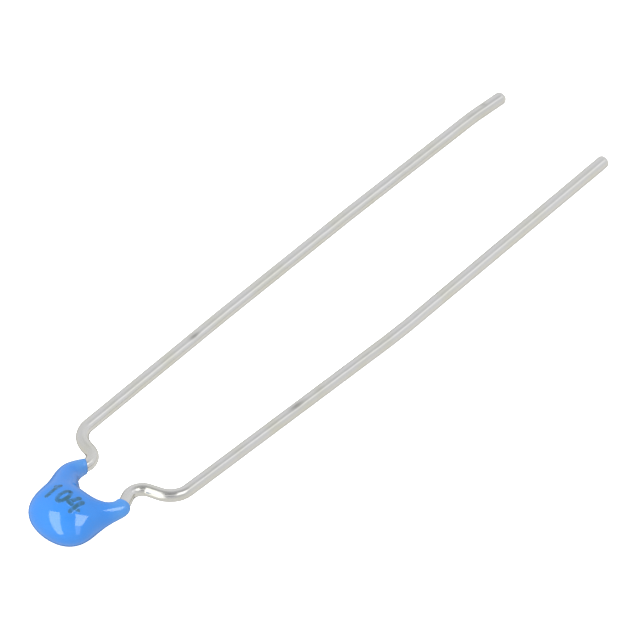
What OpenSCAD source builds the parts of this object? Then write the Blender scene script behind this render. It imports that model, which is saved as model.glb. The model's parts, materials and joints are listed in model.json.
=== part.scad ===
/* [Ceramic chip] */
// Length of the chip from end cap to end cap
chip_l = 1.1; // [1:0.05:2]
// Width of the chip, along the leads
chip_w = 1; // [0.8:0.05:1.6]
// Thickness of the chip
chip_t = 0.8; // [0.5:0.05:1.2]
// Thickness of the fired metal of an end cap
cap_wall = 0.05; // [0.02:0.01:0.08]
// How far an end cap wraps round onto the chip's sides
cap_wrap = 0.25; // [0.15:0.05:0.35]

/* [Electrodes] */
// Number of electrode layers in each comb
layers = 5; // [2:1:6]
// Thickness of one electrode layer
layer_t = 0.02; // [0.01:0.005:0.03]
// Bare ceramic between a comb's tips and the far end cap
end_margin = 0.15; // [0.1:0.05:0.3]
// Bare ceramic beside the electrodes
side_margin = 0.12; // [0.05:0.01:0.2]
// Bare ceramic above and below the stack
cover_margin = 0.08; // [0.05:0.01:0.1]

/* [Leads] */
// Diameter of the tinned wire
wire_d = 0.5; // [0.4:0.05:0.6]
// Spacing of the wires just past the kinks
kink_pitch = 5.1; // [4.8:0.02:7.5]
// Straight wire past each edge of the chip
foot_l = 0.05; // [0.05:0.05:0.3]
// Angle at which a wire spreads above the chip
spread_angle = 35; // [20:1:45]
// Left wire: straight run of the spread stretch up to its knee
left_spread_l = 0.82; // [0.7:0.01:1.1]
// Right wire: straight run of the spread stretch up to its knee
right_spread_l = 0.63; // [0.6:0.01:1]
// Angle at which a wire leans inward past its knee
lean_angle = 22.5; // [10:0.5:30]
// Left wire: straight run that leans inward
left_lean_l = 0.48; // [0.48:0.01:0.8]
// Right wire: straight run that leans inward
right_lean_l = 0.55; // [0.3:0.01:0.8]
// Angle of the outward run of the kink
kink_angle = 73.5; // [60:0.5:80]
// Bend radius on the centre line above the chip
foot_bend_r = 0.4; // [0.35:0.05:0.5]
// Bend radius on the centre line at the knee
knee_bend_r = 0.45; // [0.35:0.05:0.6]
// Bend radius on the centre line where the wire turns outward
out_bend_r = 0.6; // [0.5:0.05:0.8]
// Bend radius on the centre line where the wire turns forward
forward_bend_r = 0.95; // [0.5:0.05:1]
// Right wire: outward slope of its first long stretch
right_slope = 1.7; // [0:0.1:2]
// Right wire: length of its first long stretch
right_first_l = 11.1; // [6:0.1:14]
// Right wire: how far its gentle bow turns it back
right_bow = 3.2; // [1:0.1:4]
// Right wire: length of the last straight stretch
right_last_l = 11.8; // [8:0.1:30]
// Left wire: outward slope of its first long stretch
left_slope = 1.1; // [0:0.1:2]
// Left wire: length of its first long stretch
left_first_l = 7.9; // [4:0.1:12]
// Left wire: how far its first bow turns it back
left_bow = 0.6; // [0.2:0.1:3]
// Left wire: length of the stretch between its two bows
left_middle_l = 6.8; // [4:0.1:12]
// Left wire: how far its second bow turns it back
left_second_bow = 0.7; // [0.2:0.1:3]
// Left wire: length of the last straight stretch
left_last_l = 7; // [5:0.1:30]
// Left wire: length of its bent tip
left_tip_l = 1.5; // [0.5:0.1:2]
// Left wire: how far the bent tip turns inward
left_tip_turn = 4; // [1:0.5:8]
// Radius of the gentle bow of a wire
bow_r = 20; // [10:5:40]
// Radius of the bend before the bent tip
tip_bend_r = 5; // [3:1:10]

/* [Solder] */
// Thickness of the solder between a wire and its end cap
solder_gap = 0.02; // [0.01:0.005:0.025]
// Thickness of the solder round the rest of a wire
solder_film = 0.03; // [0.03:0.01:0.05]
// Width of a solder joint on the end cap
solder_foot = 0.66; // [0.6:0.02:0.8]
// How far a solder joint stops short of the chip's edges
solder_inset = 0.05; // [0.05:0.01:0.2]

/* [Coating] */
// Resin beside the wires on the flanks
coat_side = 0.34; // [0.2:0.02:0.6]
// Resin below the ends of the wires
coat_end = 0.7; // [0.4:0.05:1.2]
// Resin above the chip, in the notch between the ears
coat_top = 0.66; // [0.5:0.02:0.9]
// Resin over the chip's face
coat_face = 0.64; // [0.4:0.02:0.8]
// Resin round a wire at the knee of an ear
knee_wall = 0.1; // [0.06:0.01:0.15]
// Resin round a wire at the tip of an ear
tip_wall = 0.05; // [0.05:0.01:0.1]
// Resin round the wire at the root of the left ear
left_root_wall = 0.38; // [0.1:0.01:0.45]
// Resin round the wire at the root of the right ear
right_root_wall = 0.13; // [0.08:0.01:0.3]
// Half thickness of the coating at the root of an ear
root_half = 0.66; // [0.5:0.02:0.8]
// How far the lower corners are drawn in from the flanks
corner_inset = 0.4; // [0.2:0.02:0.5]
// Height of the lower corners above the bottom
corner_rise = 0.28; // [0.2:0.02:0.5]
// How far the left ear covers the straight run past the knee
left_cover = 0.48; // [0:0.01:0.48]
// How far the right ear covers the straight run past the knee
right_cover = 0; // [0:0.01:0.3]
// How far the coating sags to one side of the chip
coat_shift = 0.1; // [0:0.02:0.1]
// How far the coating sags below the plane of the leads
coat_sag = 0.1; // [0:0.02:0.2]
// Squareness of the coating's cross section, where 2 is an ellipse
squareness = 2.1; // [2:0.1:3]

/* [Hidden] */

wire_r = wire_d / 2;
wire_x = chip_l / 2 + solder_gap + wire_r;
ceramic = [chip_l - 2 * cap_wall, chip_w - 2 * cap_wall, chip_t - 2 * cap_wall];
layer_pitch = (ceramic.z - 2 * cover_margin - layer_t) / (2 * layers - 1);

// A lead is a list of steps, each [turn, bend radius, straight run after the bend].
// A positive turn bends the wire outward, away from the other lead.
start = [wire_x, chip_w / 2 + foot_l, 0];
function spread(run) = [spread_angle, foot_bend_r, run];
function lean(run) = [-spread_angle - lean_angle, knee_bend_r, run];

// Outward travel and forward travel of a bend from heading a to heading b
function bend_out(a, b, r) = r * (cos(a) - cos(b)) * sign(b - a);
function bend_on(a, b, r) = r * (sin(b) - sin(a)) * sign(b - a);

// Where a wire is, and its heading, after some steps from a pose [x, y, heading]
function after(pose, steps, k = 0) =
    k == len(steps) ? pose : after(moved(pose, steps[k]), steps, k + 1);
function moved(pose, step) =
    let (b = pose.z + step[0])
    [pose.x + bend_out(pose.z, b, step[1]) + step[2] * sin(b),
     pose.y + bend_on(pose.z, b, step[1]) + step[2] * cos(b), b];

// The kink: its outward run is as long as the pitch of the leads asks
function kink(spread_run, lean_run, slope) =
    let (steps = [spread(spread_run), lean(lean_run)],
         turn = lean_angle + kink_angle,
         turned = after(start, concat(steps, [[turn, out_bend_r, 0]])),
         reach = kink_pitch / 2 - turned.x - bend_out(kink_angle, slope, forward_bend_r))
    concat(steps, [[turn, out_bend_r, reach / sin(kink_angle)]]);
right_steps = concat(kink(right_spread_l, right_lean_l, right_slope),
    [[right_slope - kink_angle, forward_bend_r, right_first_l], [-right_bow, bow_r, right_last_l]]);
left_steps = concat(kink(left_spread_l, left_lean_l, left_slope),
    [[left_slope - kink_angle, forward_bend_r, left_first_l], [-left_bow, bow_r, left_middle_l],
     [-left_second_bow, bow_r, left_last_l], [-left_tip_turn, tip_bend_r, left_tip_l]]);

// Catmull-Rom curve through a list of points, with a number of steps per span
function curve(p, n) =
    [for (i = [0 : len(p) - 2], k = [0 : n - 1]) between(p, i, k / n), p[len(p) - 1]];
function between(p, i, t) =
    let (b = p[i], c = p[i + 1],
         a = i > 0 ? p[i - 1] : 2 * b - c,
         d = i + 2 < len(p) ? p[i + 2] : 2 * c - b)
    (2 * b + (c - a) * t + (2 * a - 5 * b + 4 * c - d) * t * t
     + (3 * b - a - 3 * c + d) * t * t * t) / 2;

// One half of the coating is a row of sections from the tip of its ear to the middle of the body.
// Each is [outer x, outer y, inner x, inner y, half thickness, height of its middle].
flank_x = wire_x + wire_r + coat_side;
face_half = chip_t / 2 + coat_face;
notch_y = chip_w / 2 + coat_top;
bottom_y = -chip_w / 2 - foot_l - coat_end;
corner_y = bottom_y + corner_rise;
// Shares of the way down the flank and of the way out along the notch where the sections end,
// and how much of the full half thickness each of them has
flank_shares = [0.38, 0.68];
notch_shares = [0.36, 0.28, 0.12];
half_shares = [0.8, 0.87, 0.96];
span_steps = 4;
ring = 32;

// A section across a wire at a pose, with resin of one wall on each side of the wire
function across(pose, wall, half_thickness, height) =
    let (side = (wire_r + wall) * [cos(pose.z), -sin(pose.z)])
    [pose.x + side.x, pose.y + side.y, pose.x - side.x, pose.y - side.y, half_thickness, height];
function half_sections(spread_run, cover, root_wall, lean_out) =
    let (tip = after(start, [spread(spread_run), lean(cover)]),
         knee = after(start, [spread(spread_run), [-spread_angle, knee_bend_r, 0]]),
         root = after(start, [spread(spread_run / 2)]),
         drop = root.y - corner_y,
         notch_x = root.x - wire_r)
    [across(tip, tip_wall, wire_r + tip_wall, 0),
     across(knee, knee_wall, wire_r + knee_wall, 0),
     across(root, root_wall, root_half, -coat_sag / 2),
     [flank_x + lean_out, root.y - flank_shares[0] * drop, notch_shares[0] * notch_x, notch_y,
      half_shares[0] * face_half, -coat_sag],
     [flank_x + lean_out, root.y - flank_shares[1] * drop, notch_shares[1] * notch_x, notch_y,
      half_shares[1] * face_half, -coat_sag],
     [flank_x + lean_out - corner_inset, corner_y, notch_shares[2] * notch_x, notch_y,
      half_shares[2] * face_half, -coat_sag]];
function mirrored(s) = [-s[0], s[1], -s[2], s[3], s[4], s[5]];
left_half = half_sections(left_spread_l, left_cover, left_root_wall, coat_shift);
right_half = half_sections(right_spread_l, right_cover, right_root_wall, -coat_shift);
middle = [-coat_shift, bottom_y, 0, notch_y, face_half, -coat_sag];
sections = curve(concat([for (s = left_half) mirrored(s)], [middle],
                        [for (i = [len(right_half) - 1 : -1 : 0]) right_half[i]]), span_steps);
// Superellipse: a cosine or sine raised to a power that keeps its sign
function squared(v) = sign(v) * pow(abs(v), 2 / squareness);
skin_points = [for (s = sections, k = [0 : ring - 1])
    let (c = squared(cos(360 * k / ring)), h = squared(sin(360 * k / ring)))
    [(s[0] + s[2]) / 2 + (s[0] - s[2]) / 2 * c,
     (s[1] + s[3]) / 2 + (s[1] - s[3]) / 2 * c,
     s[5] + s[4] * h]];
skin_sides = [for (i = [0 : len(sections) - 2], k = [0 : ring - 1])
    let (a = i * ring + k, b = i * ring + (k + 1) % ring)
    each [[a, b + ring, a + ring], [a, b, b + ring]]];
skin_ends = [[for (k = [ring - 1 : -1 : 0]) k],
             [for (k = [0 : ring - 1]) (len(sections) - 1) * ring + k]];

// The part lies on the lowest point of its coating and on the tips of its leads
low_z = min([for (p = skin_points) p.z]);
low_y = [for (p = skin_points) if (p.z == low_z) p.y][0];
lead_tip = after(start, right_steps);
rest_tilt = atan2(-wire_r - low_z, lead_tip.y - low_y);
lift = -min([for (p = skin_points) p.z * cos(rest_tilt) - p.y * sin(rest_tilt)]);
mid_y = (lead_tip.y + bottom_y) / 2;
module at_rest() {
    translate([0, -mid_y, lift])
        rotate([-rest_tilt, 0, 0])
            children();
}
module on_side(side) {
    mirror([side < 0 ? 1 : 0, 0, 0])
        children();
}

// A bend is a hair thinner than the wire, and each straight run laps a little way into it
bend_wire_r = wire_r - 0.002;
lap = 0.01;
module straight(length, before, after) {
    translate([0, -before, 0])
        rotate([-90, 0, 0])
            cylinder(h = before + length + after, r = wire_r, $fn = 32);
    translate([0, length, 0])
        children();
}
// One bend toward +X or -X, then everything that follows it
module bend(turn, radius) {
    out = sign(turn);
    mirror([out > 0 ? 1 : 0, 0, 0])
        translate([-radius, 0, 0])
            rotate_extrude(angle = abs(turn), $fn = 96)
                translate([radius, 0])
                    circle(bend_wire_r, $fn = 32);
    translate([out * radius, 0, 0])
        rotate([0, 0, -turn])
            translate([-out * radius, 0, 0])
                children();
}
module wire_run(steps, k = 0) {
    if (k < len(steps))
        bend(steps[k][0], steps[k][1])
            straight(steps[k][2], lap, k + 1 < len(steps) ? lap : 0)
                wire_run(steps, k + 1);
}
module wire(steps) {
    translate([start.x, -chip_w / 2 - foot_l, 0])
        straight(chip_w + 2 * foot_l, 0, lap)
            wire_run(steps);
}

module ceramic_block() {
    cube(ceramic, center = true);
}
module cap_block() {
    translate([chip_l / 2 - cap_wrap, -chip_w / 2, -chip_t / 2])
        cube([cap_wrap, chip_w, chip_t]);
}
module comb() {
    length = ceramic.x - end_margin;
    for (k = [0 : layers - 1])
        translate([ceramic.x / 2 - length,
                   -ceramic.y / 2 + side_margin,
                   -ceramic.z / 2 + cover_margin + 2 * k * layer_pitch])
            cube([length, ceramic.y - 2 * side_margin, layer_t]);
}
module left_comb() {
    on_side(-1)
        comb();
}
module right_comb() {
    translate([0, 0, layer_pitch])
        comb();
}
module end_cap() {
    difference() {
        cap_block();
        ceramic_block();
    }
}
module joint_outline() {
    polygon([[chip_l / 2, -solder_foot / 2], [wire_x, -wire_r - solder_film],
             [wire_x, wire_r + solder_film], [chip_l / 2, solder_foot / 2]]);
    translate([wire_x, 0])
        circle(wire_r + solder_film, $fn = 48);
}
module solder_joint() {
    length = chip_w - 2 * solder_inset;
    difference() {
        rotate([90, 0, 0])
            linear_extrude(length, center = true)
                intersection() {
                    joint_outline();
                    translate([chip_l / 2, -chip_t / 2])
                        square([2 * wire_d, chip_t]);
                }
        translate([wire_x, -chip_w / 2, 0])
            rotate([-90, 0, 0])
                cylinder(h = chip_w, r = wire_r, $fn = 32);
    }
}

module coating() {
    color("dodgerblue")
        at_rest()
            difference() {
                polyhedron(skin_points, concat(skin_sides, skin_ends));
                ceramic_block();
                on_side(-1)
                    wire(left_steps);
                wire(right_steps);
                for (side = [-1, 1])
                    on_side(side) {
                        cap_block();
                        solder_joint();
                    }
            }
}
module ceramic_body() {
    color("tan")
        at_rest()
            difference() {
                ceramic_block();
                left_comb();
                right_comb();
            }
}
module left_electrodes() {
    color("gray")
        at_rest()
            left_comb();
}
module right_electrodes() {
    color("gray")
        at_rest()
            right_comb();
}
module left_termination() {
    color("lightgray")
        at_rest()
            on_side(-1)
                end_cap();
}
module right_termination() {
    color("lightgray")
        at_rest()
            end_cap();
}
module left_solder() {
    color("darkgray")
        at_rest()
            on_side(-1)
                solder_joint();
}
module right_solder() {
    color("darkgray")
        at_rest()
            solder_joint();
}
module left_lead() {
    color("silver")
        at_rest()
            on_side(-1)
                wire(left_steps);
}
module right_lead() {
    color("silver")
        at_rest()
            wire(right_steps);
}

coating();
ceramic_body();
left_electrodes();
right_electrodes();
left_termination();
right_termination();
left_solder();
right_solder();
left_lead();
right_lead();
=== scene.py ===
"""Looks of a dipped multilayer ceramic capacitor with two tinned leads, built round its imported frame."""

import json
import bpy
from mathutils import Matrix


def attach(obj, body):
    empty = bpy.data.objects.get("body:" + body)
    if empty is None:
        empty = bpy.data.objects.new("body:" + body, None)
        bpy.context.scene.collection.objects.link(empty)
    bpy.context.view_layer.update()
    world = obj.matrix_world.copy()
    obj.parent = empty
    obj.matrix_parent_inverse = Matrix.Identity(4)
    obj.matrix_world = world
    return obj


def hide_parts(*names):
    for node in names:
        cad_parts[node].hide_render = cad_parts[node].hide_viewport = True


bl_info = {
    "name": "Dipped Ceramic Capacitor",
    "version": (1, 0, 0),
    "blender": (4, 5, 0),
    "location": "3D View > Sidebar > Capacitor",
    "description": "Builds a dipped ceramic capacitor with tinned leads round its packed frame",
    "category": "Object",
}

from functools import partial
from math import atan2, ceil, copysign, cos, degrees, exp, pi, radians, sin, tan

import bmesh
import bpy
import numpy as np
from bpy.props import FloatProperty, FloatVectorProperty, PointerProperty, StringProperty
from bpy.types import Operator, Panel, PropertyGroup
from mathutils import Matrix, Vector, noise
from mathutils.bvhtree import BVHTree

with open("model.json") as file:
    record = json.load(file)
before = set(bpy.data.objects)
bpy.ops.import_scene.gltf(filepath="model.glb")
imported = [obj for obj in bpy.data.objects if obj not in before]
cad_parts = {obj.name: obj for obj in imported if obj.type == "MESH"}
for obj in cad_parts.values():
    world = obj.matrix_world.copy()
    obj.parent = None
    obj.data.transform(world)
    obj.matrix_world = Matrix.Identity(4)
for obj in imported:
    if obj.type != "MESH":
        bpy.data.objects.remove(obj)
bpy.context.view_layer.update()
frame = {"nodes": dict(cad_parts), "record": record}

MM = 0.001
LEFT, RIGHT = 0, 1

# The chip and the leads lie in a plane that tips down a little toward the lead tips.
WIRE_TIP = next(m for m in frame["record"]["mounts"] if m["name"] == "right_wire_tip")
WIRE_R = WIRE_TIP["dims"]["r_mm"] * MM
TILT = atan2(-WIRE_TIP["axis"][2], WIRE_TIP["axis"][1])
LEVEL = Matrix.Rotation(-TILT, 3, "X")


def tilted_box(*nodes):
    """Lowest and highest corner of some CAD nodes along the axes of the tilted plane."""
    corners = [LEVEL.inverted() @ v.co for name in nodes for v in frame["nodes"][name].data.vertices]
    return Vector(map(min, zip(*corners))), Vector(map(max, zip(*corners)))


CHIP_LOW, CHIP_HIGH = tilted_box("left_termination", "right_termination")
CHIP = CHIP_HIGH - CHIP_LOW
# Takes a point from the chip's own axes, with the chip's middle at zero, to the frame
PLANE = Matrix.Translation(LEVEL @ ((CHIP_LOW + CHIP_HIGH) / 2)) @ LEVEL.to_4x4()


# ---- settings


def linear(hex_color):
    """Linear RGBA of an sRGB hex colour, such as 4A98FA."""
    channels = [int(hex_color[i:i + 2], 16) / 255 for i in (0, 2, 4)]
    return [c / 12.92 if c <= 0.04045 else ((c + 0.055) / 1.055) ** 2.4 for c in channels] + [1.0]


def size(name, description, millimetres):
    """A length setting, stored in metres."""
    return FloatProperty(name=name, description=description, default=millimetres * MM,
                         unit="LENGTH", precision=5)


def angle(name, description, turn):
    """An angle setting, given in degrees and stored in radians."""
    return FloatProperty(name=name, description=description, default=radians(turn), subtype="ANGLE")


def sizes(name, description, *millimetres):
    """A length setting for each side, left then right, stored in metres."""
    return FloatVectorProperty(name=name, description=description, size=2, unit="LENGTH", precision=5,
                               default=[length * MM for length in millimetres])


def angles(name, description, *turns):
    """An angle setting for each side, left then right, given in degrees and stored in radians."""
    return FloatVectorProperty(name=name, description=description, size=2, unit="ROTATION",
                               default=[radians(turn) for turn in turns])


def number(name, description, value):
    """A plain number setting."""
    return FloatProperty(name=name, description=description, default=value, precision=3)


def color(name, description, hex_color):
    """A colour setting, stored as linear RGBA."""
    return FloatVectorProperty(name=name, description=description, subtype="COLOR", size=4,
                               min=0, max=1, default=linear(hex_color))


class LeadSizes(PropertyGroup):
    """Route of the two leads. Each lead starts beside the chip and ends at its tip."""

    solder_gap: size("Solder gap", "Solder between a wire and its end cap", 0.02)
    foot_l: size("Foot", "Straight wire past each edge of the chip", 0.05)
    kink_pitch: size("Kink pitch", "Spacing of the wires just past the kinks", 5.1)
    spread_angle: angle("Spread angle", "Angle at which a wire spreads above the chip", 35)
    lean_angle: angle("Lean angle", "Angle at which a wire leans inward past its knee", 22.5)
    kink_angle: angle("Kink angle", "Angle of the outward run of the kink", 73.5)
    foot_bend_r: size("Foot bend", "Bend radius above the chip", 0.4)
    knee_bend_r: size("Knee bend", "Bend radius at the knee", 0.45)
    out_bend_r: size("Outward bend", "Bend radius where the wire turns outward", 0.6)
    forward_bend_r: size("Forward bend", "Bend radius where the wire turns forward", 0.95)
    bow_r: size("Bow radius", "Radius of the gentle bow of a wire", 20)
    tip_bend_r: size("Tip bend", "Radius of the bend before the bent tip", 5)
    spread_l: sizes("Spread", "Straight run up to the knee", 0.82, 0.63)
    lean_l: sizes("Lean", "Straight run that leans inward", 0.48, 0.55)
    slope: angles("Slope", "Outward slope of the first long stretch", 1.1, 1.7)
    first_l: sizes("First stretch", "Length up to the first bow", 7.9, 11.1)
    bow: angles("Bow", "How far the first bow turns the wire back", 0.6, 3.2)
    last_l: sizes("Last stretch", "Length past the last bow", 7, 11.8)
    tip_round: sizes("Tip rounding", "Rounding of the cropped tip", 0.2, 0.13)
    left_middle_l: size("Left middle stretch", "Length between the left wire's two bows", 6.8)
    left_second_bow: angle("Left second bow", "How far the left wire's second bow turns it back", 0.7)
    left_tip_turn: angle("Left tip turn", "How far the left wire's bent tip turns inward", 4)
    left_tip_l: size("Left tip", "Length of the left wire's bent tip", 1.5)
    tin_ripple: size("Tin ripple", "How far the tin stands proud or shy of a true round", 0.003)


class CoatingSizes(PropertyGroup):
    """Resin skin round the chip and the roots of the leads."""

    side: size("Side", "Resin beside the wires on the flanks", 0.34)
    end: size("End", "Resin below the ends of the wires", 0.7)
    top: size("Top", "Resin above the chip, in the notch between the ears", 0.66)
    corner_inset: size("Corner inset", "How far the lower corners are drawn in", 0.4)
    corner_rise: size("Corner rise", "Height of the lower corners above the bottom", 0.23)
    cover: sizes("Cover", "How far an ear runs past its knee", 0.55, 0)
    slant: angles("Slant", "How far an ear's end slants across the wire", -12, 0)
    tip_wall: sizes("Tip wall", "Resin round the wire at an ear's tip", 0.012, 0.05)
    knee_wall: sizes("Knee wall", "Resin outside the wire at its knee", 0.17, 0.11)
    root_wall: sizes("Root wall", "Resin outside the wire at an ear's root", 0.31, 0.11)
    web: sizes("Web", "How much thicker an ear is toward the notch", 0.045, 0)
    shift: size("Shift", "How far the coating sags to one side of the chip", 0.1)
    sag: size("Sag", "How far the coating sags below the plane of the leads", 0.1)
    lip: size("Lip", "Length of the rolled rim where the resin ends on a wire", 0.05)
    thin_rim: size("Thin rim", "Length over which an ear thins toward its rim", 0.8)
    ripple: size("Ripple", "How far the resin's surface waves in and out", 0.004)
    fullness: number("Fullness", "How far the resin swells, where 1 gives an ear a round section", 1.08)


class MarkingSizes(PropertyGroup):
    """Plain number printed on the face."""

    digits: StringProperty(name="Digits", description="Plain number, made of 0, 1 and 4", default="104")
    height: size("Height", "Height of a digit", 0.64)
    pitch: size("Pitch", "Spacing of the digits", 0.54)
    stroke: size("Stroke", "Width of a pen stroke", 0.22)
    film: size("Film", "Thickness of the ink", 0.004)
    slant: number("Slant", "How far a digit leans to the right, as a share of its height", 0.12)
    middle_x: size("Middle across", "Place of the middle digit across the chip", -0.11)
    middle_y: size("Middle along", "Place of the middle digit along the leads", -0.04)


class Finishes(PropertyGroup):
    """Colours of the pieces and of the floor."""

    resin: color("Resin", "Blue pigmented epoxy", "3A8CE4")
    resin_deep: color("Deep resin", "Epoxy where its pigment lies thicker", "3585DD")
    resin_thin: color("Thin resin", "Epoxy drawn thin over the wires", "5F9CD8")
    # Painted shade: this grey line stands in for the shadow where the resin's rolled lip meets a wire
    resin_rim_shadow_color: color("Resin edge", "Grey line where the epoxy ends on a wire", "5C7FA6")
    ink: color("Ink", "Marking ink", "2F5A5E")
    tin: color("Tin", "Dipped tin of the leads", "DCDBD8")
    tin_warm: color("Warm tin", "Tin that has yellowed a little", "D9D8CB")
    scuff: color("Scuff", "Dark rub in a clamp mark", "4A4840")
    ceramic: color("Ceramic", "Fired dielectric", "C8B08C")
    nickel: color("Nickel", "Fired electrode layers", "9C978C")
    cap_metal: color("Cap metal", "Plating of the end caps", "C9C8C4")
    solder: color("Solder", "Solder joints", "B9BBBD")
    floor: color("Floor", "Opal acrylic of the floor", "F4F4F4")


class StudioSettings(PropertyGroup):
    """Camera, soft light and floor."""

    azimuth: angle("Azimuth", "Camera's direction round the part", 41.8)
    elevation: angle("Elevation", "Camera's height above the floor", 46.0)
    roll: angle("Roll", "Camera's turn about its own axis", -0.7)
    distance: size("Distance", "From the camera to the part", 1000)
    view_width: size("View width", "Width that the camera sees at the part", 24.31)
    aim_right: size("Aim right", "How far right of the origin the camera aims", 0.696)
    aim_up: size("Aim up", "How far above the origin the camera aims", 0.823)
    floor_width: size("Floor width", "Width of the floor", 3000)
    floor_glow: number("Floor glow", "Light that comes up through the floor", 1.0)
    sky_top: number("Sky top", "Soft light straight above", 0.6)
    sky_rim: number("Sky rim", "Soft light beside and under the part", 0.84)
    sky_front: number("Sky front", "Soft light in a wide zone round the camera", 0.68)
    sky_back: number("Sky back", "Soft light past the tips of the leads", 0.9)
    sky_lens: number("Sky lens", "Soft light close round the camera", 0.45)
    sky_below: number("Sky below", "Soft light far below, away from the camera", 0.25)
    cool_white: color("Cool white", "Tint of the light from above", "FAFBFF")
    warm_white: color("Warm white", "Tint of the light from below", "FFFEFA")
    strip_glow: number("Strip glow", "Brightness of a strip light whose share is one", 4.8)
    fill_glow: number("Fill glow", "Brightness of the wide light beside the camera", 1.12)


class CapacitorSettings(PropertyGroup):
    """Everything that a user would change."""

    leads: PointerProperty(type=LeadSizes, name="Leads", description="Route of the leads")
    coating: PointerProperty(type=CoatingSizes, name="Coating", description="Resin skin")
    marking: PointerProperty(type=MarkingSizes, name="Marking", description="Printed number")
    finishes: PointerProperty(type=Finishes, name="Finishes", description="Colours")
    studio: PointerProperty(type=StudioSettings, name="Studio", description="Camera and light")


# ---- materials


def add_node(tree, kind, settings=None, links=None):
    """Adds a node, with its settings and input values by name or place and what feeds its inputs.

    An input is fed by a socket, or by the first output of a node."""
    node = tree.nodes.new(kind)
    for key, value in (settings or {}).items():
        if isinstance(key, int) or key in node.inputs:
            node.inputs[key].default_value = value
        else:
            setattr(node, key, value)
    for key, source in (links or {}).items():
        socket = source.outputs[0] if isinstance(source, bpy.types.Node) else source
        tree.links.new(socket, node.inputs[key])
    return node


def new_material(finish, *details, name=None):
    """A material made by a finish, which adds its nodes with the call that it is handed."""
    material = bpy.data.materials.new(name or finish.__name__)
    material.use_nodes = True
    material.node_tree.nodes.clear()
    add = partial(add_node, material.node_tree)
    add("ShaderNodeOutputMaterial", links={"Surface": finish(add, *details)})
    return material


def blue_dipped_epoxy(add, finishes):
    """Pigmented epoxy, dipped and cured: a deep even blue under a wet gloss, with a faint waviness.

    Toward the rims on the wires the skin is drawn thin, so it is paler and its gloss is duller."""
    place = add("ShaderNodeTexCoord").outputs["Object"]
    rim = add("ShaderNodeAttribute", {"attribute_name": "rim"}).outputs["Fac"]
    # Clouds of pigment about 0.9 mm across
    cloud = add("ShaderNodeTexNoise", {"Scale": 1 / (0.9 * MM), "Detail": 2.0}, {"Vector": place})
    pigment = add("ShaderNodeMix", {"data_type": "RGBA", 6: finishes.resin, 7: finishes.resin_deep},
                  {"Factor": cloud})
    # The blue pales by half where the skin thins, and a grey line of painted shade, standing in for the
    # shadow of the rolled lip, ends it on the wire
    thinness = add("ShaderNodeMapRange", {"From Max": 0.5, "To Max": 0.5}, {"Value": rim})
    drawn = add("ShaderNodeMix", {"data_type": "RGBA", 7: finishes.resin_thin},
                {"Factor": thinness, 6: pigment.outputs[2]})
    # Painted shade over the last stretch of each rim, where the lip meets the wire
    last = add("ShaderNodeMapRange", {"From Min": 0.94, "To Max": 0.8}, {"Value": rim})
    painted_rim_shadow = add("ShaderNodeMix", {"data_type": "RGBA", 7: finishes.resin_rim_shadow_color},
                {"Factor": last, 6: drawn.outputs[2]})
    gloss = add("ShaderNodeMapRange", {"From Min": 0.65, "To Min": 0.09, "To Max": 0.65}, {"Value": rim})
    # Flow marks about 0.35 mm across
    flow = add("ShaderNodeTexNoise", {"Scale": 1 / (0.35 * MM), "Detail": 1.0}, {"Vector": place})
    wave = add("ShaderNodeBump", {"Strength": 0.06, "Distance": 0.02 * MM}, {"Height": flow})
    return add("ShaderNodeBsdfPrincipled", {"IOR": 1.53},
               {"Base Color": painted_rim_shadow.outputs[2], "Roughness": gloss, "Normal": wave})


def hot_dipped_tin(add, finishes):
    """Tin-dipped steel wire, drawn then dipped: satin grey with fine streaks along its length."""
    along = add("ShaderNodeAttribute", {"attribute_name": "wire_space"}).outputs["Vector"]
    mark = add("ShaderNodeAttribute", {"attribute_name": "mark"}).outputs["Fac"]
    # Die lines about 0.06 mm apart and some 2 mm long
    stretched = add("ShaderNodeMapping", {"Scale": (1.0, 1.0, 0.03)}, {"Vector": along})
    lines = add("ShaderNodeTexNoise", {"Scale": 1 / (0.06 * MM), "Detail": 3.0}, {"Vector": stretched})
    # Yellowed patches about 1.2 mm across
    tint = add("ShaderNodeTexNoise", {"Scale": 1 / (1.2 * MM), "Detail": 2.0}, {"Vector": along})
    warmth = add("ShaderNodeMapRange", {"From Min": 0.42, "From Max": 0.68, "To Max": 0.8},
                 {"Value": tint})
    metal = add("ShaderNodeMix", {"data_type": "RGBA", 6: finishes.tin, 7: finishes.tin_warm},
                {"Factor": warmth})
    rubbed = add("ShaderNodeMix", {"data_type": "RGBA", 7: finishes.scuff},
                 {"Factor": mark, 6: metal.outputs[2]})
    satin = add("ShaderNodeMapRange", {"To Min": 0.15, "To Max": 0.27}, {"Value": lines})
    grooves = add("ShaderNodeBump", {"Strength": 0.12, "Distance": 0.006 * MM}, {"Height": lines})
    return add("ShaderNodeBsdfPrincipled", {"Metallic": 1.0},
               {"Base Color": rubbed.outputs[2], "Roughness": satin, "Normal": grooves})


def stamped_marking_ink(add, finishes):
    """Stamped epoxy ink: a dull dark film with soft, blotted edges that lets some of the blue through."""
    place = add("ShaderNodeTexCoord").outputs["Object"]
    depth = add("ShaderNodeAttribute", {"attribute_name": "ink"}).outputs["Fac"]
    # Blots about 0.2 mm across
    patch = add("ShaderNodeTexNoise", {"Scale": 1 / (0.2 * MM), "Detail": 2.0}, {"Vector": place})
    worn = add("ShaderNodeMapRange", {"From Min": 0.35, "From Max": 0.65, "To Min": -0.2, "To Max": 0.35},
               {"Value": patch})
    wet = add("ShaderNodeMath", {"operation": "ADD"}, {0: depth, 1: worn})
    cover = add("ShaderNodeMapRange",
                {"interpolation_type": "SMOOTHSTEP", "From Max": 1.3, "To Max": 0.88}, {"Value": wet})
    film = add("ShaderNodeMix", {"data_type": "RGBA", 6: finishes.resin, 7: finishes.ink},
               {"Factor": cover})
    return add("ShaderNodeBsdfPrincipled", {"Roughness": 0.25, "IOR": 1.5},
               {"Base Color": film.outputs[2]})


# Share of its colour that a hidden piece keeps between its grains
GRAIN_SHADE = 0.72


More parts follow.
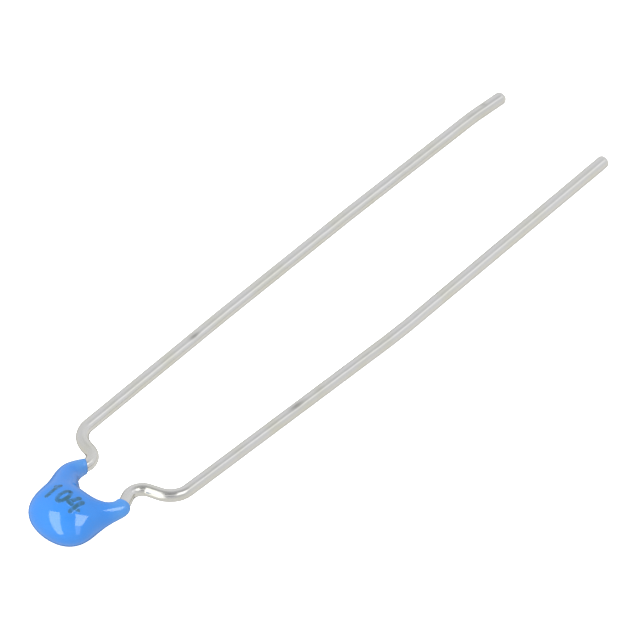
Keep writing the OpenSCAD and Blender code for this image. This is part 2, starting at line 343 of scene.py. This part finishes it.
def grained(add, base, roughness, metallic, grain, relief):
    """A hidden piece's finish: one colour, mottled and roughened by grains sized in millimetres."""
    place = add("ShaderNodeTexCoord").outputs["Object"]
    grains = add("ShaderNodeTexNoise", {"Scale": 1 / (grain * MM), "Detail": 4.0}, {"Vector": place})
    shade = [channel * GRAIN_SHADE for channel in base[:3]] + [1.0]
    mottle = add("ShaderNodeMix", {"data_type": "RGBA", 6: shade, 7: base}, {"Factor": grains})
    bump = add("ShaderNodeBump", {"Strength": 0.4, "Distance": relief * MM}, {"Height": grains})
    return add("ShaderNodeBsdfPrincipled", {"Roughness": roughness, "Metallic": metallic},
               {"Base Color": mottle.outputs[2], "Normal": bump})


def opal_acrylic(add, finishes, glow):
    """Opal acrylic lit from below: an even white, with a bloom about 0.3 mm across."""
    place = add("ShaderNodeTexCoord").outputs["Object"]
    bloom = add("ShaderNodeTexNoise", {"Scale": 1 / (0.3 * MM)}, {"Vector": place})
    relief = add("ShaderNodeBump", {"Strength": 0.02, "Distance": 0.01 * MM}, {"Height": bloom})
    sheet = {"Base Color": finishes.floor, "Roughness": 0.9, "Specular IOR Level": 0.1,
             "Emission Color": finishes.floor, "Emission Strength": glow}
    return add("ShaderNodeBsdfPrincipled", sheet, {"Normal": relief})


def glowing_veil(add, glow):
    """An even glow that is clear besides, so that the pieces it doesn't light see straight through it."""
    light = add("ShaderNodeEmission", {"Strength": glow})
    clear = add("ShaderNodeBsdfTransparent")
    return add("ShaderNodeAddShader", links={0: light, 1: clear})


# ---- the route of a lead


def bend_travel(start, end, radius):
    """Outward and forward travel of a bend from one heading to another."""
    way = copysign(radius, end - start)
    return way * (cos(start) - cos(end)), way * (sin(end) - sin(start))


def after(pose, steps):
    """Pose (outward, forward, heading) after some steps, each (turn, bend radius, straight run)."""
    x, y, heading = pose
    for turn, radius, run in steps:
        out, on = bend_travel(heading, heading + turn, radius)
        heading += turn
        x += out + run * sin(heading)
        y += on + run * cos(heading)
    return x, y, heading


def start_pose(leads):
    """Where a wire leaves its straight run beside the chip."""
    return CHIP.x / 2 + leads.solder_gap + WIRE_R, CHIP.y / 2 + leads.foot_l, 0.0


def spread(leads, run):
    """Step in which a wire spreads above the chip."""
    return leads.spread_angle, leads.foot_bend_r, run


def lean(leads, run):
    """Step in which a wire turns to lean inward at its knee."""
    return -leads.spread_angle - leads.lean_angle, leads.knee_bend_r, run


def kink(leads, side):
    """Steps up to the forward bend. The outward run is as long as the pitch of the leads asks."""
    slope = leads.slope[side]
    steps = [spread(leads, leads.spread_l[side]), lean(leads, leads.lean_l[side])]
    turn = leads.lean_angle + leads.kink_angle
    turned = after(start_pose(leads), steps + [(turn, leads.out_bend_r, 0)])
    out, _ = bend_travel(leads.kink_angle, slope, leads.forward_bend_r)
    reach = leads.kink_pitch / 2 - turned[0] - out
    return steps + [(turn, leads.out_bend_r, reach / sin(leads.kink_angle)),
                    (slope - leads.kink_angle, leads.forward_bend_r)]


def lead_steps(leads, side):
    """Steps of a wire from beside the chip to its tip. The left one has two bows and a bent tip."""
    *steps, forward = kink(leads, side)
    steps.append((*forward, leads.first_l[side]))
    if side == RIGHT:
        return steps + [(-leads.bow[side], leads.bow_r, leads.last_l[side])]
    return steps + [(-leads.bow[side], leads.bow_r, leads.left_middle_l),
                    (-leads.left_second_bow, leads.bow_r, leads.last_l[side]),
                    (-leads.left_tip_turn, leads.tip_bend_r, leads.left_tip_l)]


# Most that a wire turns or runs from one ring to the next
TURN_STEP = radians(4)
RUN_STEP = 0.12 * MM


def route(leads, side):
    """Samples of a lead from its inner end to its tip, each (outward, forward, heading, distance)."""
    x, y, _ = start_pose(leads)
    pose, distance = (x, -y, 0.0), 0.0
    samples = [(*pose, distance)]
    for turn, radius, run in [(0.0, 1.0, 2 * y), *lead_steps(leads, side)]:
        for bend, reach, parts in ((turn, 0.0, ceil(abs(turn) / TURN_STEP)),
                                   (0.0, run, ceil(run / RUN_STEP))):
            length = abs(bend) * radius + reach
            for k in range(1, parts + 1):
                step = (bend * k / parts, radius, reach * k / parts)
                samples.append((*after(pose, [step]), distance + length * k / parts))
            pose = after(pose, [(bend, radius, reach)])
            distance += length
    return samples


# ---- meshes


def add_object(name, data):
    """Puts some data into the scene as an object."""
    thing = bpy.data.objects.new(name, data)
    bpy.context.scene.collection.objects.link(thing)
    return thing


def add_mesh(name, points, faces, material):
    """Puts a mesh of one material into the scene."""
    mesh = bpy.data.meshes.new(name)
    mesh.from_pydata(points, [], faces)
    mesh.materials.append(material)
    return add_object(name, mesh)


def add_piece(name, points, faces, material, nodes=()):
    """A smooth closed mesh, given along the chip's axes, that rides on the part's body."""
    piece = add_mesh(name, [PLANE @ Vector(p) for p in points], faces, material)
    shape = bmesh.new()
    shape.from_mesh(piece.data)
    bmesh.ops.recalc_face_normals(shape, faces=shape.faces)
    shape.to_mesh(piece.data)
    shape.free()
    piece.data.shade_smooth()
    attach(piece, "root")
    if nodes:
        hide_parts(*nodes)
    return piece


def add_shade(piece, name, values):
    """Stores one number a point for the piece's material to read."""
    shade = piece.data.attributes.new(name, "FLOAT", "POINT")
    shade.data.foreach_set("value", values)


def skin_rings(rings):
    """Points and faces of a closed skin over a row of rings with as many points each."""
    count = len(rings[0])
    points = [p for ring in rings for p in ring]
    last = len(points) - count
    faces = [(first + k, first + (k + 1) % count, first + count + (k + 1) % count, first + count + k)
             for first in range(0, last, count) for k in range(count)]
    for first in (0, last):
        points.append(sum((Vector(points[first + k]) for k in range(count)), Vector()) / count)
        faces += [(first + k, first + (k + 1) % count, len(points) - 1) for k in range(count)]
    return points, faces


# Clamp marks of the left and the right wire: millimetres from the tip, degrees round the wire, length,
# width and depth in millimetres, and how dark
CLAMP_MARKS = (
    ((17.93, 105, 0.22, 0.09, 0.010, 0.38), (1.07, 80, 0.09, 0.08, 0.006, 0.3),
     (1.93, 97, 0.14, 0.08, 0.004, 0.1), (18.6, 50, 0.22, 0.06, 0.004, 0)),
    ((18.1, 86, 0.34, 0.08, 0.010, 0.47), (16.85, 88, 0.18, 0.07, 0.004, 0.1),
     (12.2, 80, 0.25, 0.07, 0.006, 0.21), (26.57, -5, 0.09, 0.08, 0.004, 1)),
)


def clamp_press(marks, left_over, turn):
    """Depth and darkness of the clamp marks at a distance from the tip and a place round the wire."""
    depth = dark = 0.0
    for place, around, length, width, deep, tone in marks:
        off = (degrees(turn) - around + 180) % 360 - 180
        reach = ((left_over / MM - place) / length) ** 2 + (radians(off) * WIRE_R / MM / width) ** 2
        depth += deep * MM * exp(-reach)
        dark += tone * exp(-reach)
    return depth, min(dark, 1.0)


# Points in a ring of a wire, and rings and sweep of the rounding at its tip
LEAD_RING = 32
TIP_RINGS = 8
TIP_SWEEP = radians(89)
# Ripples of the tin: the length along the wire that counts as one radius round it, and their fineness
TIN_WAVE = 0.5 * MM
TIN_FINENESS = 1.3


def lead_rings(leads, side):
    """Rings of a lead, with each point's place along a straightened wire and its darkness."""
    samples, tip_round, hand = route(leads, side), leads.tip_round[side], (-1, 1)[side]
    x, y, heading, total = samples[-1]
    profile = [(s, WIRE_R) for s in samples if s[3] < total - tip_round]
    for k in range(TIP_RINGS + 1):
        swing = TIP_SWEEP * k / TIP_RINGS
        back = tip_round * (1 - sin(swing))
        spot = (x - back * sin(heading), y - back * cos(heading), heading, total - back)
        profile.append((spot, WIRE_R - tip_round * (1 - cos(swing))))
    rings, spaces, darks = [], [], []
    for (x, y, heading, distance), radius in profile:
        ring = []
        for k in range(LEAD_RING):
            turn = 2 * pi * k / LEAD_RING
            out, up = cos(turn), sin(turn)
            wave = noise.noise(Vector((out, up, distance / TIN_WAVE)) * TIN_FINENESS)
            depth, dark = clamp_press(CLAMP_MARKS[side], total - distance, turn)
            r = radius - depth + leads.tin_ripple * wave * radius / WIRE_R
            ring.append((hand * (x + r * out * cos(heading)), y - r * out * sin(heading), r * up))
            spaces.append((WIRE_R * out, WIRE_R * up, distance))
            darks.append(dark)
        rings.append(ring)
    return rings, spaces, darks


def add_lead(name, node, leads, side, material):
    """One tinned lead, with its clamp marks and its cropped tip."""
    rings, spaces, darks = lead_rings(leads, side)
    points, faces = skin_rings(rings)
    piece = add_piece(name, points, faces, material, [node])
    # The two points that close the ends
    spaces += [spaces[0], spaces[-1]]
    darks += [0.0, 0.0]
    space = piece.data.attributes.new("wire_space", "FLOAT_VECTOR", "POINT")
    space.data.foreach_set("vector", [value for point in spaces for value in point])
    add_shade(piece, "mark", darks)


# ---- the coating

# Sections across half of the body: how far down its flank they start, and how far out from the
# middle of the notch they end
FLANK_SHARES = (0.38, 0.68)
NOTCH_SHARES = (0.36, 0.28, 0.12)
# Sections from one of those to the next, points in a ring of the skin, and rings in a rolled lip
SPAN_STEPS = 10
COAT_RING = 96
LIP_RINGS = 5
# Passes that ease the sections and the finished rings
SECTION_EASING = 24
RING_EASING = 16
# Share of the first misfit at which the resin's height counts as found
SOLVED = 1e-16
# Length of the waves in the resin's surface
RESIN_WAVE = 0.8 * MM


def across(pose, wall, web, height):
    """Section across a wire at a pose, with a wall of resin round it and a web on the notch's side."""
    x, y, heading = pose
    outer, inner = WIRE_R + wall, WIRE_R + wall + web
    return Vector((x + outer * cos(heading), y - outer * sin(heading),
                   x - inner * cos(heading), y + inner * sin(heading), height))


def half_sections(leads, coat, side, lean_out):
    """Sections from the tip of an ear to near the middle of the body.

    Each is (outer x, outer y, inner x, inner y, height of its middle)."""
    start, spread_run, web = start_pose(leads), leads.spread_l[side], coat.web[side]
    tip_x, tip_y, heading = after(start, [spread(leads, spread_run), lean(leads, coat.cover[side])])
    knee = after(start, [spread(leads, spread_run), (-leads.spread_angle, leads.knee_bend_r, 0)])
    root = after(start, [spread(leads, spread_run / 2)])
    flank_x = start[0] + WIRE_R + coat.side + lean_out
    notch_x, notch_y = root[0] - WIRE_R, CHIP.y / 2 + coat.top
    corner_y = -start[1] - coat.end + coat.corner_rise
    drop = root[1] - corner_y
    flank_ends = [(flank_x, root[1] - share * drop) for share in FLANK_SHARES]
    flank_ends.append((flank_x - coat.corner_inset, corner_y))
    return [
        across((tip_x, tip_y, heading + coat.slant[side]), coat.tip_wall[side], 0, 0),
        across(knee, coat.knee_wall[side], web, 0),
        across(root, coat.root_wall[side], web, -coat.sag / 2),
        *(Vector((*end, share * notch_x, notch_y, -coat.sag))
          for end, share in zip(flank_ends, NOTCH_SHARES)),
    ]


def catmull_rom(rows, steps):
    """Rows along a Catmull-Rom curve through some rows of numbers."""
    ends = [2 * rows[0] - rows[1], *rows, 2 * rows[-1] - rows[-2]]
    curve = []
    for a, b, c, d in zip(ends, ends[1:], ends[2:], ends[3:]):
        for k in range(steps):
            t = k / steps
            curve.append((2 * b + (c - a) * t + (2 * a - 5 * b + 4 * c - d) * t ** 2
                          + (3 * b - a - 3 * c + d) * t ** 3) / 2)
    return curve + [rows[-1]]


def relaxed(rows, passes):
    """The same rows with their changes of pace eased, and the two ends kept."""
    for _ in range(passes):
        inner = [(a + 2 * b + c) / 4 for a, b, c in zip(rows, rows[1:], rows[2:])]
        rows = [rows[0], *inner, rows[-1]]
    return rows


def coating_sections(leads, coat):
    """Sections from the tip of the left ear, down across the body, to the tip of the right ear."""
    left = half_sections(leads, coat, LEFT, coat.shift)
    right = half_sections(leads, coat, RIGHT, -coat.shift)
    left = [Vector((-row[0], row[1], -row[2], row[3], row[4])) for row in left]
    bottom_y = -CHIP.y / 2 - leads.foot_l - coat.end
    middle = Vector((-coat.shift, bottom_y, 0, CHIP.y / 2 + coat.top, -coat.sag))
    return relaxed(catmull_rom([*left, middle, *reversed(right)], SPAN_STEPS), SECTION_EASING)


def blown_up(plan):
    """Height of a drop of resin over a plan of rows of points, each row running from edge to edge.

    A film held down along the edges and blown up from below takes the height whose square falls
    away evenly, so a narrow ear gets a round section and the wide body a low dome."""
    rows, count = plan.shape[:2]
    place = np.arange(rows * count).reshape(rows, count)
    a, b, c, d = (part.ravel() for part in
                  (place[:-1, :-1], place[1:, :-1], place[1:, 1:], place[:-1, 1:]))
    corners = np.concatenate([np.stack([a, b, c]), np.stack([a, c, d])], axis=1)
    flat = plan.reshape(-1, 2)
    near, far, pull, load = [], [], [], np.zeros(len(flat))
    for i, j, o in (corners, np.roll(corners, 1, axis=0), np.roll(corners, 2, axis=0)):
        u, v = (flat[i] - flat[o]).T, (flat[j] - flat[o]).T
        area = np.abs(u[0] * v[1] - u[1] * v[0]) / 2
        near.append(i)
        far.append(j)
        pull.append((u * v).sum(axis=0) / (4 * area))
        load += np.bincount(o, area / 3, len(flat))
    near, far, pull = map(np.concatenate, (near, far, pull))
    free = np.ones((rows, count))
    free[:, (0, -1)] = 0
    free = free.ravel()

    def tension(film):
        """Pull of the film on each of its free points."""
        strain = pull * (film[near] - film[far])
        return free * (np.bincount(near, strain, len(flat)) - np.bincount(far, strain, len(flat)))

    # Conjugate gradients, with each point weighed by its own stiffness
    ease = free / (np.bincount(near, pull, len(flat)) + np.bincount(far, pull, len(flat)))
    film, error = np.zeros(len(flat)), free * load
    step = ease * error
    misfit = error @ step
    goal = misfit * SOLVED
    while misfit > goal:
        reaction = tension(step)
        stride = misfit / (step @ reaction)
        film += stride * step
        error -= stride * reaction
        eased = ease * error
        before, misfit = misfit, error @ eased
        step = eased + misfit / before * step
    return np.sqrt(2 * film.clip(0)).reshape(rows, count)


def coating_rings(leads, coat):
    """Rings of the coating from the tip of the left ear to the tip of the right ear."""
    rows = np.array(coating_sections(leads, coat))
    swing = np.cos(np.linspace(0, pi, COAT_RING // 2 + 1))[:, None]
    outer, inner = rows[:, None, 0:2], rows[:, None, 2:4]
    plan = (outer + inner) / 2 + (outer - inner) / 2 * swing
    height = coat.fullness * blown_up(plan)
    middle = np.broadcast_to(rows[:, None, 4], height.shape)
    upper = np.dstack([plan, middle + height])
    lower = np.dstack([plan, middle - height])[:, -2:0:-1]
    rings = relaxed(list(np.hstack([upper, lower])), RING_EASING)
    return [[Vector(p) for p in ring] for ring in rings]


def waved(point, ripple):
    """A point of the skin, moved out or in by the waves in the resin."""
    return point + Vector((0, 0, copysign(ripple, point.z) * noise.noise(point / RESIN_WAVE)))


def rolled_lip(ring, onward, coat):
    """Rings that roll the resin's rim over onto the wire, which runs on in one direction."""
    centre = sum(ring, Vector()) / len(ring)
    lip = []
    for k in range(1, LIP_RINGS + 1):
        swing = pi / 2 * k / LIP_RINGS
        forward = onward * coat.lip * sin(swing)
        lip.append([])
        for out in (p - centre for p in ring):
            share = (WIRE_R + (out.length - WIRE_R) * cos(swing)) / out.length
            lip[-1].append(centre + out * share + forward)
    return lip


# ---- the printed number

# Half the width of a digit, in heights of the digit
HALF_DIGIT = 0.3
# How much thicker each stroke of a digit is than the one before, in films, to keep crossings clean
LAYER_RISE = 0.25
# Spacing of the points along a stroke
PEN_STEP = 0.03 * MM
# How ragged the edges of a stroke are, as a share of its width, and over what length
RAGGED = 0.12
RAGGED_L = 0.05 * MM
# Turns of the rings that round off the two ends of a stroke
CAP_SWINGS = [radians(a) for a in (80, 55, 28)]


def digit_strokes(digit):
    """Pen strokes of a digit, in heights of the digit, from its lower left corner."""
    if digit == "1":
        return [[(0.19, 0.87), (0.32, 1)], [(0.32, 1), (0.32, 0)]]
    if digit == "4":
        return [[(0.15, 1), (0, 0.34)], [(0, 0.34), (0.68, 0.34)], [(0.48, 0.92), (0.48, 0)]]
    if digit == "0":
        turns = [2 * pi * k / 24 for k in range(25)]
        return [[(0.31 + 0.25 * sin(t), 0.5 + 0.48 * cos(t)) for t in turns]]
    raise ValueError(f"there are no strokes for the digit {digit!r}")


def resampled(line, gap):
    """Points along a line of straight pieces, at most one gap apart."""
    points = [Vector(line[0])]
    for a, b in zip(line, line[1:]):
        a, b = Vector(a), Vector(b)
        parts = max(1, ceil((b - a).length / gap))
        points += [a.lerp(b, k / parts) for k in range(1, parts + 1)]
    return points


def ribbon(points, half):
    """Spine, side direction and half width of a round-ended pen stroke."""
    ways = [(b - a).normalized() for a, b in zip(points, points[1:])]
    ways = [ways[0], *((a + b).normalized() for a, b in zip(ways, ways[1:])), ways[-1]]
    stroke = [(points[0], ways[0], -swing) for swing in CAP_SWINGS]
    stroke += [(point, way, 0) for point, way in zip(points, ways)]
    stroke += [(points[-1], ways[-1], swing) for swing in reversed(CAP_SWINGS)]
    return [(point + way * half * sin(swing), Vector((way.y, -way.x)), half * cos(swing))
            for point, way, swing in stroke]


# Across a pen stroke: place from edge to edge, rise above the resin in films, and depth of the ink
INK_PROFILE = ((-1, -1.5, 0), (-0.95, 1, 0), (-0.7, 1, 0.75), (0, 1, 1),
               (0.7, 1, 0.75), (0.95, 1, 0), (1, -1.5, 0))


def ink_stroke(stroke, film, skin):
    """Rings of one pen stroke laid on the resin's skin."""
    rings = []
    for spot, across_way, half in stroke:
        ragged = 1 + RAGGED * noise.noise(Vector((spot.x, spot.y, 0)) / RAGGED_L)
        ring = []
        for share, rise, _ in INK_PROFILE:
            p = spot + across_way * (half * ragged * share)
            # Straight down from well above the coating
            hit, *_ = skin.ray_cast(Vector((p.x, p.y, CHIP.z * 3)), Vector((0, 0, -1)))
            if hit is None:
                raise RuntimeError("a digit runs off the coating")
            ring.append(hit + Vector((0, 0, film * rise)))
        rings.append(ring)
    return rings


# ---- operators


class CAPACITOR_OT_leads(Operator):
    """Sweeps the two tinned leads along their bends"""

    bl_idname = "capacitor.leads"
    bl_label = "Tinned Leads"

    def execute(self, context):
        settings = context.scene.capacitor
        leads = settings.leads
        tin = new_material(hot_dipped_tin, settings.finishes)
        add_lead("left_tinned_lead", "left_lead", leads, LEFT, tin)
        add_lead("right_tinned_lead", "right_lead", leads, RIGHT, tin)
        return {"FINISHED"}


class CAPACITOR_OT_coating(Operator):
    """Lofts the dipped resin coating with its two ears"""

    bl_idname = "capacitor.coating"
    bl_label = "Dipped Coating"

    def execute(self, context):
        settings = context.scene.capacitor
        leads, coat = settings.leads, settings.coating
        rings = [[waved(p, coat.ripple) for p in ring] for ring in coating_rings(leads, coat)]
        inward, onward = sin(leads.lean_angle), cos(leads.lean_angle)
        first = rolled_lip(rings[0], Vector((inward, onward, 0)), coat)
        last = rolled_lip(rings[-1], Vector((-inward, onward, 0)), coat)
        rings = [*reversed(first), *rings, *last]
        points, faces = skin_rings(rings)
        resin = new_material(blue_dipped_epoxy, settings.finishes)
        piece = add_piece("dipped_coating", points, faces, resin, ["coating"])
        # The rim's value rises from 0 to 1 as an ear thins toward its end, and near 1 it places the
        # painted shade line on the wire
        middles = [sum(ring, Vector()) / len(ring) for ring in rings]
        thin = [1 - min((m - middles[0]).length, (m - middles[-1]).length) / coat.thin_rim
                for m in middles]
        add_shade(piece, "rim", [max(t, 0) for t in thin for _ in rings[0]] + [1.0, 1.0])
        return {"FINISHED"}


class CAPACITOR_OT_marking(Operator):
    """Prints a plain number on the face of the coating"""

    bl_idname = "capacitor.marking"
    bl_label = "Printed Number"

    def execute(self, context):
        settings = context.scene.capacitor
        marking = settings.marking
        coating = bpy.data.objects["dipped_coating"].data
        back = PLANE.inverted()
        skin = BVHTree.FromPolygons([back @ v.co for v in coating.vertices],
                                    [tuple(p.vertices) for p in coating.polygons])
        points, faces, depths = [], [], []
        middle = (len(marking.digits) - 1) / 2
        for place, digit in enumerate(marking.digits):
            left = marking.middle_x + (place - middle) * marking.pitch - HALF_DIGIT * marking.height
            corner = Vector((left, marking.middle_y - marking.height / 2))
            for layer, line in enumerate(digit_strokes(digit)):
                leaning = [Vector((x + marking.slant * (y - 0.5), y)) for x, y in line]
                spine = resampled([corner + p * marking.height for p in leaning], PEN_STEP)
                film = marking.film * (1 + LAYER_RISE * layer)
                rings = ink_stroke(ribbon(spine, marking.stroke / 2), film, skin)
                more, sides = skin_rings(rings)
                faces += [tuple(len(points) + k for k in side) for side in sides]
                points += more
                depths += [depth for _ in rings for _, _, depth in INK_PROFILE] + [0.0, 0.0]
        ink = new_material(stamped_marking_ink, settings.finishes)
        piece = add_piece("printed_number", points, faces, ink)
        add_shade(piece, "ink", depths)
        return {"FINISHED"}


class CAPACITOR_OT_chip(Operator):
    """Finishes the ceramic chip, its electrodes, its end caps and its solder joints"""

    bl_idname = "capacitor.chip"
    bl_label = "Chip and Solder"

    def execute(self, context):
        finishes = context.scene.capacitor.finishes
        # Fired dielectric: matt and sandy, with grains drawn at 0.02 mm so that they show
        ceramic = new_material(
            grained, finishes.ceramic, 0.75, 0, 0.02, 0.002, name="fired_dielectric_ceramic")
        # Fired nickel ink: dull grey metal, a little open between its grains
        nickel = new_material(grained, finishes.nickel, 0.55, 1, 0.015, 0.001, name="fired_nickel_layers")
        # Plated end caps: satin metal over a coarse fired layer
        cap = new_material(grained, finishes.cap_metal, 0.38, 1, 0.04, 0.003, name="tin_plated_end_cap")
        # Reflowed solder: bright, with shallow frosty patches
        solder = new_material(grained, finishes.solder, 0.25, 1, 0.08, 0.004, name="reflowed_tin_solder")
        for slot, material, nodes in (
                ("ceramic", ceramic, ["ceramic_body"]),
                ("electrode", nickel, ["left_electrodes", "right_electrodes"]),
                ("termination", cap, ["left_termination", "right_termination"]),
                ("solder", solder, ["left_solder", "right_solder"])):
            for node in nodes:
                piece = frame["nodes"][node]
                piece.data.materials.clear()
                piece.data.materials.append(material)
        return {"FINISHED"}


def view_axes(azimuth, elevation, roll):
    """Right, up and back directions of a camera that looks down at the part."""
    right = Vector((cos(azimuth), sin(azimuth), 0))
    back = Vector((sin(azimuth) * cos(elevation), -cos(azimuth) * cos(elevation), sin(elevation)))
    turn = Matrix.Rotation(roll, 3, back)
    return turn @ right, turn @ back.cross(right), back


def toward_light(axes, sideways, upward):
    """Direction of a light seen from the body, given in degrees from the camera."""
    right, up, back = axes
    a, b = radians(sideways), radians(upward)
    return right * sin(a) * cos(b) + up * sin(b) + back * cos(a) * cos(b)


# From each light to the body
LIGHT_DISTANCE = 600 * MM


def glowing_panel(name, axes, corners, glow, lit):
    """A sheet of even light, with its corners in degrees from the camera, and the pieces it lights."""
    points = [PLANE.translation + toward_light(axes, *corner) * LIGHT_DISTANCE for corner in corners]
    veil = new_material(glowing_veil, glow, name=name)
    panel = add_mesh(name, points, [tuple(range(len(points)))], veil)
    panel.visible_diffuse = panel.visible_camera = False
    receivers = bpy.data.collections.new(name)
    for piece in lit:
        receivers.objects.link(bpy.data.objects[piece])
    panel.light_linking.receiver_collection = receivers


def softbox(name, axes, sideways, upward, wide, high, glow):
    """A rectangular light that faces the body and spans some degrees from there, unseen in gloss."""
    toward, up = toward_light(axes, sideways, upward), axes[1]
    light = bpy.data.lights.new(name, "AREA")
    light.shape = "RECTANGLE"
    light.size = 2 * LIGHT_DISTANCE * tan(radians(wide) / 2)
    light.size_y = 2 * LIGHT_DISTANCE * tan(radians(high) / 2)
    light.energy = glow * pi * light.size * light.size_y
    lamp = add_object(name, light)
    tall = (up - toward * up.dot(toward)).normalized()
    facing = Matrix((tall.cross(toward), tall, toward)).transposed().to_4x4()
    lamp.matrix_world = Matrix.Translation(PLANE.translation + toward * LIGHT_DISTANCE) @ facing
    lamp.visible_glossy = False


BODY = ("dipped_coating", "printed_number")
WIRES = ("left_tinned_lead", "right_tinned_lead")
# Strip lights: corners in degrees sideways and upward from the camera, share of the strip glow, and
# the pieces lit. The body and the wires have strips of their own, so that each one's highlights can be
# placed apart.
STRIPS = {
    "left_strip": ([(-54, 26), (-25, 30), (-34, -47), (-62, -47)], 0.885, BODY),
    "right_strip": ([(24, 31), (62, 13), (46, -10), (19, -8)], 1.0, BODY),
    "right_low_strip": ([(20, -9), (43, -11), (56, -46), (34, -48)], 0.335, BODY),
    "wire_left_strip": ([(-47, 43), (-18, 43), (-17, -24), (-47, -24)], 0.25, WIRES),
    "wire_low_strip": ([(-76, -24), (-20, -24), (-20, -48), (-76, -54)], 0.17, WIRES),
    "wire_front_strip": ([(-16, 14), (18, 14), (18, -4), (-16, -4)], 0.09, WIRES),
    "wire_right_strip": ([(20, 38), (46, 37), (45, 2), (18, -6)], 0.24, WIRES),
    "wire_side_strip": ([(47, 47), (69, 47), (69, 24), (47, 24)], 0.057, WIRES),
}


class CAPACITOR_OT_studio(Operator):
    """Lays the floor, hangs the soft lights and sets the camera"""

    bl_idname = "capacitor.studio"
    bl_label = "Studio"

    def execute(self, context):
        scene = context.scene
        settings = scene.capacitor
        studio = settings.studio
        axes = right, up, back = view_axes(studio.azimuth, studio.elevation, studio.roll)
        self.lay_floor(studio, settings.finishes)
        self.light_sky(scene, studio, back)
        for name, (corners, share, lit) in STRIPS.items():
            glowing_panel(name, axes, corners, studio.strip_glow * share, lit)
        softbox("fill", axes, sideways=-20, upward=6, wide=120, high=100, glow=studio.fill_glow)
        camera = bpy.data.cameras.new("camera")
        camera.lens = camera.sensor_width * studio.distance / studio.view_width
        camera.clip_start, camera.clip_end = studio.distance / 100, studio.distance * 100
        viewer = add_object("camera", camera)
        aim = right * studio.aim_right + up * studio.aim_up
        facing = Matrix((right, up, back)).transposed().to_4x4()
        viewer.matrix_world = Matrix.Translation(aim + back * studio.distance) @ facing
        scene.camera = viewer
        scene.view_settings.view_transform = "Standard"
        return {"FINISHED"}

    def lay_floor(self, studio, finishes):
        """A flat sheet under the part that neither shows in gloss nor lights the part."""
        half = studio.floor_width / 2
        corners = [(-half, -half, 0), (half, -half, 0), (half, half, 0), (-half, half, 0)]
        acrylic = new_material(opal_acrylic, finishes, studio.floor_glow)
        floor = add_mesh("floor", corners, [(0, 1, 2, 3)], acrylic)
        floor.visible_glossy = floor.visible_diffuse = False

    def light_sky(self, scene, studio, back):
        """Soft light all round: dimmer overhead and round the camera, brighter past the tips of the
        leads, and dark far below on the side away from the camera."""
        world = bpy.data.worlds.new("soft_studio_sky")
        world.use_nodes = True
        world.node_tree.nodes.clear()
        add = partial(add_node, world.node_tree)
        way = add("ShaderNodeTexCoord").outputs["Generated"]
        place = add("ShaderNodeSeparateXYZ", links={"Vector": way})
        # 1 toward the camera and -1 away from it
        lensward = add("ShaderNodeVectorMath", {"operation": "DOT_PRODUCT", 1: back},
                       {0: way}).outputs["Value"]
        # Each change of brightness runs between two values of what it follows. The first sum starts
        # from the rim's brightness.
        glow = None
        for value, first, last, change in (
                (place.outputs["Z"], 0.76, 0.87, studio.sky_top - studio.sky_rim),
                (lensward, 0.3, 0.8, studio.sky_front - studio.sky_rim),
                (place.outputs["Y"], 0.44, 0.6, studio.sky_back - studio.sky_rim),
                (lensward, 0.85, 0.97, studio.sky_lens - studio.sky_front),
                (lensward, -0.7, -0.92, studio.sky_below - studio.sky_rim)):
            ramp = {"interpolation_type": "SMOOTHSTEP", "From Min": first, "From Max": last,
                    "To Max": change}
            links = {0: add("ShaderNodeMapRange", ramp, {"Value": value})} | ({1: glow} if glow else {})
            glow = add("ShaderNodeMath", {"operation": "ADD", 1: studio.sky_rim}, links)
        tint = add("ShaderNodeMapRange", {"From Min": -0.1, "From Max": 0.1},
                   {"Value": place.outputs["Z"]})
        white = add("ShaderNodeMix", {"data_type": "RGBA", 6: studio.warm_white, 7: studio.cool_white},
                    {"Factor": tint})
        sky = add("ShaderNodeBackground", links={"Color": white.outputs[2], "Strength": glow})
        add("ShaderNodeOutputWorld", {"is_active_output": True}, {"Surface": sky})
        scene.world = world


class CAPACITOR_PT_panel(Panel):
    """Lists the pieces and their settings"""

    bl_idname = "CAPACITOR_PT_panel"
    bl_label = "Dipped Ceramic Capacitor"
    bl_space_type = "VIEW_3D"
    bl_region_type = "UI"
    bl_category = "Capacitor"

    def draw(self, context):
        settings = context.scene.capacitor
        for operator in MAKERS:
            self.layout.operator(operator.bl_idname)
        for group in (settings.leads, settings.coating, settings.marking, settings.finishes,
                      settings.studio):
            box = self.layout.box()
            for name in group.__annotations__:
                box.prop(group, name)


GROUPS = (LeadSizes, CoatingSizes, MarkingSizes, Finishes, StudioSettings, CapacitorSettings)
MAKERS = (CAPACITOR_OT_leads, CAPACITOR_OT_coating, CAPACITOR_OT_marking, CAPACITOR_OT_chip,
          CAPACITOR_OT_studio)


def register():
    """Adds the settings, operators and panel to Blender."""
    for cls in (*GROUPS, *MAKERS, CAPACITOR_PT_panel):
        bpy.utils.register_class(cls)
    bpy.types.Scene.capacitor = PointerProperty(type=CapacitorSettings)


def unregister():
    """Takes the settings, operators and panel away."""
    del bpy.types.Scene.capacitor
    for cls in (CAPACITOR_PT_panel, *reversed(MAKERS), *reversed(GROUPS)):
        bpy.utils.unregister_class(cls)


def main():
    """Builds the capacitor and its studio."""
    register()
    bpy.ops.capacitor.leads()
    bpy.ops.capacitor.coating()
    bpy.ops.capacitor.marking()
    bpy.ops.capacitor.chip()
    bpy.ops.capacitor.studio()


if __name__ == "__main__":
    main()
